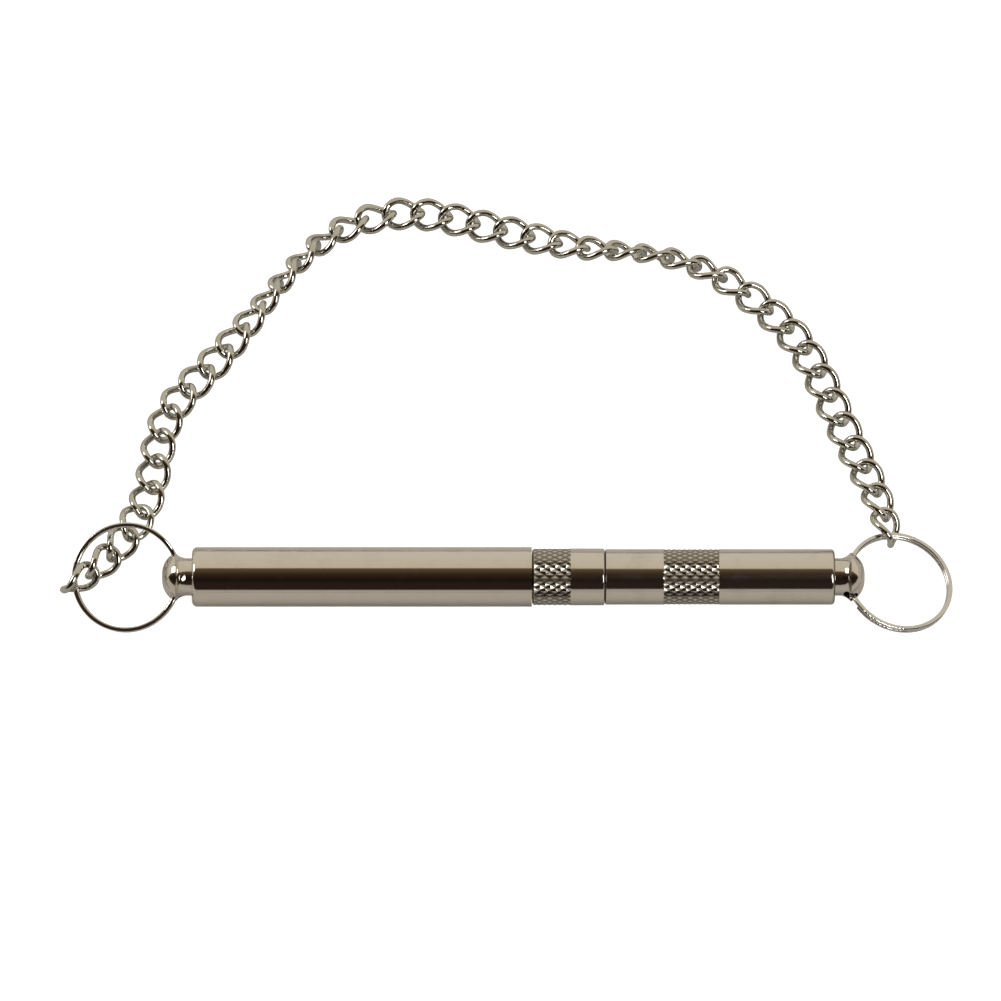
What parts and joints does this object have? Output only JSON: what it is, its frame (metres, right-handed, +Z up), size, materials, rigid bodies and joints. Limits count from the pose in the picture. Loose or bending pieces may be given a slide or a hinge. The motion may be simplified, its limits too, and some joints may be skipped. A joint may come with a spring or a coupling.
{
  "type": "training whistle",
  "caption": "Slim two-tone silent dog whistle: screw cap over the mouthpiece, knurled lock nut, tuner barrel with plunger, swivel finials, split rings and a curb chain.",
  "frame": {"origin": "on the surface that the whistle lies on, under the middle of the whistle", "axes": "+X along the whistle from cap to tuner, +Y towards the chain loop, +Z up"},
  "size_m": [0.1288, 0.0708, 0.0086],
  "materials": {
    "nickel_plate": "polished nickel plate",
    "ring_steel": "polished spring steel",
    "chain_steel": "nickel plated wire",
    "bare_brass": "turned brass",
    "seal_rubber": "moulded"
  },
  "bodies": {
    "whistle": {"whistle_tube": "nickel_plate", "windway_plug": "bare_brass"},
    "lock_nut": {"lock_nut": "nickel_plate"},
    "cap_end": {"cap_finial": "nickel_plate", "cap_finial_clip": "bare_brass"},
    "cap": {"cap_tube": "nickel_plate"},
    "tuner_end": {"tuner_finial": "nickel_plate", "tuner_finial_clip": "bare_brass"},
    "tuner": {"tuner_barrel": "nickel_plate", "rod_collar": "bare_brass", "plunger_rod": "bare_brass", "piston": "bare_brass", "piston_seal": "seal_rubber"},
    "ring_left": {"ring_left": "ring_steel"},
    "ring_right": {"ring_right": "ring_steel"},
    "link_01": {"chain_link_01": "chain_steel"},
    "link_02": {"chain_link_02": "chain_steel"},
    "link_03": {"chain_link_03": "chain_steel"},
    "link_04": {"chain_link_04": "chain_steel"},
    "link_05": {"chain_link_05": "chain_steel"},
    "link_06": {"chain_link_06": "chain_steel"},
    "link_07": {"chain_link_07": "chain_steel"},
    "link_08": {"chain_link_08": "chain_steel"},
    "link_09": {"chain_link_09": "chain_steel"},
    "link_10": {"chain_link_10": "chain_steel"},
    "link_11": {"chain_link_11": "chain_steel"},
    "link_12": {"chain_link_12": "chain_steel"},
    "link_13": {"chain_link_13": "chain_steel"},
    "link_14": {"chain_link_14": "chain_steel"},
    "link_15": {"chain_link_15": "chain_steel"},
    "link_16": {"chain_link_16": "chain_steel"},
    "link_17": {"chain_link_17": "chain_steel"},
    "link_18": {"chain_link_18": "chain_steel"},
    "link_19": {"chain_link_19": "chain_steel"},
    "link_20": {"chain_link_20": "chain_steel"},
    "link_21": {"chain_link_21": "chain_steel"},
    "link_22": {"chain_link_22": "chain_steel"},
    "link_23": {"chain_link_23": "chain_steel"},
    "link_24": {"chain_link_24": "chain_steel"},
    "link_25": {"chain_link_25": "chain_steel"},
    "link_26": {"chain_link_26": "chain_steel"},
    "link_27": {"chain_link_27": "chain_steel"},
    "link_28": {"chain_link_28": "chain_steel"},
    "link_29": {"chain_link_29": "chain_steel"},
    "link_30": {"chain_link_30": "chain_steel"},
    "link_31": {"chain_link_31": "chain_steel"},
    "link_32": {"chain_link_32": "chain_steel"},
    "link_33": {"chain_link_33": "chain_steel"},
    "link_34": {"chain_link_34": "chain_steel"},
    "link_35": {"chain_link_35": "chain_steel"},
    "link_36": {"chain_link_36": "chain_steel"},
    "link_37": {"chain_link_37": "chain_steel"},
    "link_38": {"chain_link_38": "chain_steel"},
    "link_39": {"chain_link_39": "chain_steel"},
    "link_40": {"chain_link_40": "chain_steel"},
    "link_41": {"chain_link_41": "chain_steel"},
    "link_42": {"chain_link_42": "chain_steel"},
    "link_43": {"chain_link_43": "chain_steel"}
  },
  "joints": [
    {"name": "cap_travel", "type": "slide", "parent": "whistle", "child": "cap_end", "axis": [-1, 0, 0], "range_m": [0, 0.003]},
    {"name": "cap_turn", "type": "hinge", "parent": "cap_end", "child": "cap", "pos_m": [-0.02, 0, 0.0043], "axis": [-1, 0, 0], "range_deg": [0, 1440.5]},
    {"name": "nut_turn", "type": "hinge", "parent": "whistle", "child": "lock_nut", "pos_m": [0.008, 0, 0.0043], "axis": [-1, 0, 0], "range_deg": [0, 60]},
    {"name": "tuner_travel", "type": "slide", "parent": "whistle", "child": "tuner_end", "axis": [1, 0, 0], "range_m": [0, 0.004]},
    {"name": "tuner_turn", "type": "hinge", "parent": "tuner_end", "child": "tuner", "pos_m": [0.03, 0, 0.0043], "axis": [1, 0, 0], "range_deg": [0, 2880.5]},
    {"name": "ring_left_turn", "type": "hinge", "parent": "cap_end", "child": "ring_left", "pos_m": [-0.05601, 0.00032, 0.00342], "axis": [0.1291, 0.3392, -0.9318], "continuous": true},
    {"name": "ring_right_turn", "type": "hinge", "parent": "tuner_end", "child": "ring_right", "pos_m": [0.05537, -0.00012, 0.00258], "axis": [0.2377, 0.0678, 0.969], "continuous": true},
    {"name": "chain_sway", "type": "hinge", "parent": "cap_end", "child": "link_01", "pos_m": [-0.06396, -0.00076, 0.00279], "axis": [0, 0, 1], "range_deg": [-0.88, 0.88]},
    {"name": "pivot_02", "type": "hinge", "parent": "link_01", "child": "link_02", "pos_m": [-0.06125, 0.00159, 0.00267], "axis": [0, 0, 1], "range_deg": [-1.74, 0.02]},
    {"name": "pivot_03", "type": "hinge", "parent": "link_02", "child": "link_03", "pos_m": [-0.05837, 0.00459, 0.00248], "axis": [0, 0, 1], "range_deg": [-0.86, 0.86]},
    {"name": "pivot_04", "type": "hinge", "parent": "link_03", "child": "link_04", "pos_m": [-0.05602, 0.00801, 0.00216], "axis": [0, 0, 1], "range_deg": [-2.37, 0.02]},
    {"name": "pivot_05", "type": "hinge", "parent": "link_04", "child": "link_05", "pos_m": [-0.0542, 0.01173, 0.00173], "axis": [0, 0, 1], "range_deg": [-0.65, 0.65]},
    {"name": "pivot_06", "type": "hinge", "parent": "link_05", "child": "link_06", "pos_m": [-0.05297, 0.0157, 0.0015], "axis": [0, 0, 1], "range_deg": [-0.495, 0.495]},
    {"name": "pivot_07", "type": "hinge", "parent": "link_06", "child": "link_07", "pos_m": [-0.05222, 0.01981, 0.0015], "axis": [0, 0, 1], "range_deg": [-0.314, 0.314]},
    {"name": "pivot_08", "type": "hinge", "parent": "link_07", "child": "link_08", "pos_m": [-0.05143, 0.02391, 0.00153], "axis": [0, 0, 1], "range_deg": [-0.118, 0.118]},
    {"name": "pivot_09", "type": "hinge", "parent": "link_08", "child": "link_09", "pos_m": [-0.05, 0.0278, 0.00149], "axis": [0, 0, 1], "range_deg": [-0.122, 0.122]},
    {"name": "pivot_10", "type": "hinge", "parent": "link_09", "child": "link_10", "pos_m": [-0.04773, 0.03127, 0.00145], "axis": [0, 0, 1], "range_deg": [-0.315, 0.315]},
    {"name": "pivot_11", "type": "hinge", "parent": "link_10", "child": "link_11", "pos_m": [-0.04503, 0.03447, 0.00151], "axis": [0, 0, 1], "range_deg": [-0.488, 0.488]},
    {"name": "pivot_12", "type": "hinge", "parent": "link_11", "child": "link_12", "pos_m": [-0.04234, 0.03765, 0.00175], "axis": [0, 0, 1], "range_deg": [-0.63, 0.63]},
    {"name": "pivot_13", "type": "hinge", "parent": "link_12", "child": "link_13", "pos_m": [-0.03976, 0.04093, 0.00208], "axis": [0, 0, 1], "range_deg": [-0.74, 0.74]},
    {"name": "pivot_14", "type": "hinge", "parent": "link_13", "child": "link_14", "pos_m": [-0.03725, 0.04426, 0.00236], "axis": [0, 0, 1], "range_deg": [-0.81, 0.81]},
    {"name": "pivot_15", "type": "hinge", "parent": "link_14", "child": "link_15", "pos_m": [-0.03475, 0.04761, 0.00254], "axis": [0, 0, 1], "range_deg": [-0.82, 0.82]},
    {"name": "pivot_16", "type": "hinge", "parent": "link_15", "child": "link_16", "pos_m": [-0.03214, 0.05088, 0.00258], "axis": [0, 0, 1], "range_deg": [-0.02, 1.58]},
    {"name": "pivot_17", "type": "hinge", "parent": "link_16", "child": "link_17", "pos_m": [-0.02928, 0.05391, 0.00248], "axis": [0, 0, 1], "range_deg": [-0.73, 0.73]},
    {"name": "pivot_18", "type": "hinge", "parent": "link_17", "child": "link_18", "pos_m": [-0.02604, 0.05651, 0.00225], "axis": [0, 0, 1], "range_deg": [-0.02, 2.49]},
    {"name": "pivot_19", "type": "hinge", "parent": "link_18", "child": "link_19", "pos_m": [-0.02241, 0.0585, 0.00194], "axis": [0, 0, 1], "range_deg": [-0.51, 0.51]},
    {"name": "pivot_20", "type": "hinge", "parent": "link_19", "child": "link_20", "pos_m": [-0.01844, 0.0597, 0.00164], "axis": [0, 0, 1], "range_deg": [-0.366, 0.366]},
    {"name": "pivot_21", "type": "hinge", "parent": "link_20", "child": "link_21", "pos_m": [-0.01431, 0.05995, 0.00149], "axis": [0, 0, 1], "range_deg": [-0.222, 0.222]},
    {"name": "pivot_22", "type": "hinge", "parent": "link_21", "child": "link_22", "pos_m": [-0.01019, 0.05937, 0.00148], "axis": [0, 0, 1], "range_deg": [-0.083, 0.083]},
    {"name": "pivot_23", "type": "hinge", "parent": "link_22", "child": "link_23", "pos_m": [-0.00613, 0.05839, 0.00149], "axis": [0, 0, 1], "range_deg": [-0.082, 0.082]},
    {"name": "pivot_24", "type": "hinge", "parent": "link_23", "child": "link_24", "pos_m": [-0.00208, 0.05733, 0.00147], "axis": [0, 0, 1], "range_deg": [-0.186, 0.186]},
    {"name": "pivot_25", "type": "hinge", "parent": "link_24", "child": "link_25", "pos_m": [0.00195, 0.05622, 0.00157], "axis": [0, 0, 1], "range_deg": [-0.265, 0.265]},
    {"name": "pivot_26", "type": "hinge", "parent": "link_25", "child": "link_26", "pos_m": [0.00597, 0.05512, 0.00183], "axis": [0, 0, 1], "range_deg": [-0.318, 0.318]},
    {"name": "pivot_27", "type": "hinge", "parent": "link_26", "child": "link_27", "pos_m": [0.01004, 0.05422, 0.00215], "axis": [0, 0, 1], "range_deg": [-0.346, 0.346]},
    {"name": "pivot_28", "type": "hinge", "parent": "link_27", "child": "link_28", "pos_m": [0.01417, 0.0536, 0.00241], "axis": [0, 0, 1], "range_deg": [-0.354, 0.354]},
    {"name": "pivot_29", "type": "hinge", "parent": "link_28", "child": "link_29", "pos_m": [0.01831, 0.05302, 0.00256], "axis": [0, 0, 1], "range_deg": [-0.347, 0.347]},
    {"name": "pivot_30", "type": "hinge", "parent": "link_29", "child": "link_30", "pos_m": [0.0224, 0.05221, 0.00257], "axis": [0, 0, 1], "range_deg": [-0.331, 0.331]},
    {"name": "pivot_31", "type": "hinge", "parent": "link_30", "child": "link_31", "pos_m": [0.02638, 0.05096, 0.00243], "axis": [0, 0, 1], "range_deg": [-0.02, 2.29]},
    {"name": "pivot_32", "type": "hinge", "parent": "link_31", "child": "link_32", "pos_m": [0.03014, 0.04919, 0.00217], "axis": [0, 0, 1], "range_deg": [-0.306, 0.306]},
    {"name": "pivot_33", "type": "hinge", "parent": "link_32", "child": "link_33", "pos_m": [0.03361, 0.0469, 0.00186], "axis": [0, 0, 1], "range_deg": [-0.02, 2.97]},
    {"name": "pivot_34", "type": "hinge", "parent": "link_33", "child": "link_34", "pos_m": [0.03681, 0.04422, 0.00162], "axis": [0, 0, 1], "range_deg": [-0.329, 0.329]},
    {"name": "pivot_35", "type": "hinge", "parent": "link_34", "child": "link_35", "pos_m": [0.03968, 0.0412, 0.00152], "axis": [0, 0, 1], "range_deg": [-0.368, 0.368]},
    {"name": "pivot_36", "type": "hinge", "parent": "link_35", "child": "link_36", "pos_m": [0.0421, 0.03781, 0.0015], "axis": [0, 0, 1], "range_deg": [-0.426, 0.426]},
    {"name": "pivot_37", "type": "hinge", "parent": "link_36", "child": "link_37", "pos_m": [0.04407, 0.03413, 0.00151], "axis": [0, 0, 1], "range_deg": [-0.5, 0.5]},
    {"name": "pivot_38", "type": "hinge", "parent": "link_37", "child": "link_38", "pos_m": [0.04572, 0.03029, 0.00149], "axis": [0, 0, 1], "range_deg": [-0.59, 0.59]},
    {"name": "pivot_39", "type": "hinge", "parent": "link_38", "child": "link_39", "pos_m": [0.04727, 0.0264, 0.00147], "axis": [0, 0, 1], "range_deg": [-0.68, 0.68]},
    {"name": "pivot_40", "type": "hinge", "parent": "link_39", "child": "link_40", "pos_m": [0.04887, 0.02254, 0.00154], "axis": [0, 0, 1], "range_deg": [-0.76, 0.76]},
    {"name": "pivot_41", "type": "hinge", "parent": "link_40", "child": "link_41", "pos_m": [0.05051, 0.0187, 0.00173], "axis": [0, 0, 1], "range_deg": [-0.84, 0.84]},
    {"name": "pivot_42", "type": "hinge", "parent": "link_41", "child": "link_42", "pos_m": [0.052, 0.0148, 0.002], "axis": [0, 0, 1], "range_deg": [-0.89, 0.89]},
    {"name": "pivot_43", "type": "hinge", "parent": "link_42", "child": "link_43", "pos_m": [0.05322, 0.01081, 0.00227], "axis": [0, 0, 1], "range_deg": [-0.92, 0.92]}
  ],
  "couplings": [
    {"joint": "cap_turn", "follows": "cap_travel", "rad_per_m": 8377.6},
    {"joint": "tuner_turn", "follows": "tuner_travel", "rad_per_m": 12566},
    {"joint": "pivot_02", "follows": "cap_travel", "rad_per_m": -9.8003},
    {"joint": "pivot_03", "follows": "chain_sway", "ratio": 0.93724},
    {"joint": "pivot_04", "follows": "tuner_travel", "rad_per_m": -10.065},
    {"joint": "pivot_05", "follows": "chain_sway", "ratio": 0.70336},
    {"joint": "pivot_06", "follows": "chain_sway", "ratio": 0.52959},
    {"joint": "pivot_07", "follows": "chain_sway", "ratio": 0.32805},
    {"joint": "pivot_08", "follows": "chain_sway", "ratio": 0.10948},
    {"joint": "pivot_09", "follows": "chain_sway", "ratio": -0.11378},
    {"joint": "pivot_10", "follows": "chain_sway", "ratio": -0.32866},
    {"joint": "pivot_11", "follows": "chain_sway", "ratio": -0.52242},
    {"joint": "pivot_12", "follows": "chain_sway", "ratio": -0.68367},
    {"joint": "pivot_13", "follows": "chain_sway", "ratio": -0.80322},
    {"joint": "pivot_14", "follows": "chain_sway", "ratio": -0.8749},
    {"joint": "pivot_15", "follows": "chain_sway", "ratio": -0.89597},
    {"joint": "pivot_16", "follows": "cap_travel", "rad_per_m": 8.9232},
    {"joint": "pivot_17", "follows": "chain_sway", "ratio": -0.79348},
    {"joint": "pivot_18", "follows": "tuner_travel", "rad_per_m": 10.561},
    {"joint": "pivot_19", "follows": "chain_sway", "ratio": -0.54221},
    {"joint": "pivot_20", "follows": "chain_sway", "ratio": -0.38595},
    {"joint": "pivot_21", "follows": "chain_sway", "ratio": -0.22479},
    {"joint": "pivot_22", "follows": "chain_sway", "ratio": -0.06986},
    {"joint": "pivot_23", "follows": "chain_sway", "ratio": 0.06922},
    {"joint": "pivot_24", "follows": "chain_sway", "ratio": 0.18511},
    {"joint": "pivot_25", "follows": "chain_sway", "ratio": 0.27333},
    {"joint": "pivot_26", "follows": "chain_sway", "ratio": 0.33244},
    {"joint": "pivot_27", "follows": "chain_sway", "ratio": 0.36407},
    {"joint": "pivot_28", "follows": "chain_sway", "ratio": 0.37251},
    {"joint": "pivot_29", "follows": "chain_sway", "ratio": 0.36419},
    {"joint": "pivot_30", "follows": "chain_sway", "ratio": 0.34691},
    {"joint": "pivot_31", "follows": "cap_travel", "rad_per_m": 12.928},
    {"joint": "pivot_32", "follows": "chain_sway", "ratio": 0.31839},
    {"joint": "pivot_33", "follows": "tuner_travel", "rad_per_m": 12.607},
    {"joint": "pivot_34", "follows": "chain_sway", "ratio": 0.3442},
    {"joint": "pivot_35", "follows": "chain_sway", "ratio": 0.38792},
    {"joint": "pivot_36", "follows": "chain_sway", "ratio": 0.45276},
    {"joint": "pivot_37", "follows": "chain_sway", "ratio": 0.53575},
    {"joint": "pivot_38", "follows": "chain_sway", "ratio": 0.63138},
    {"joint": "pivot_39", "follows": "chain_sway", "ratio": 0.73209},
    {"joint": "pivot_40", "follows": "chain_sway", "ratio": 0.82883},
    {"joint": "pivot_41", "follows": "chain_sway", "ratio": 0.91192},
    {"joint": "pivot_42", "follows": "chain_sway", "ratio": 0.9718},
    {"joint": "pivot_43", "follows": "chain_sway", "ratio": 1}
  ]
}
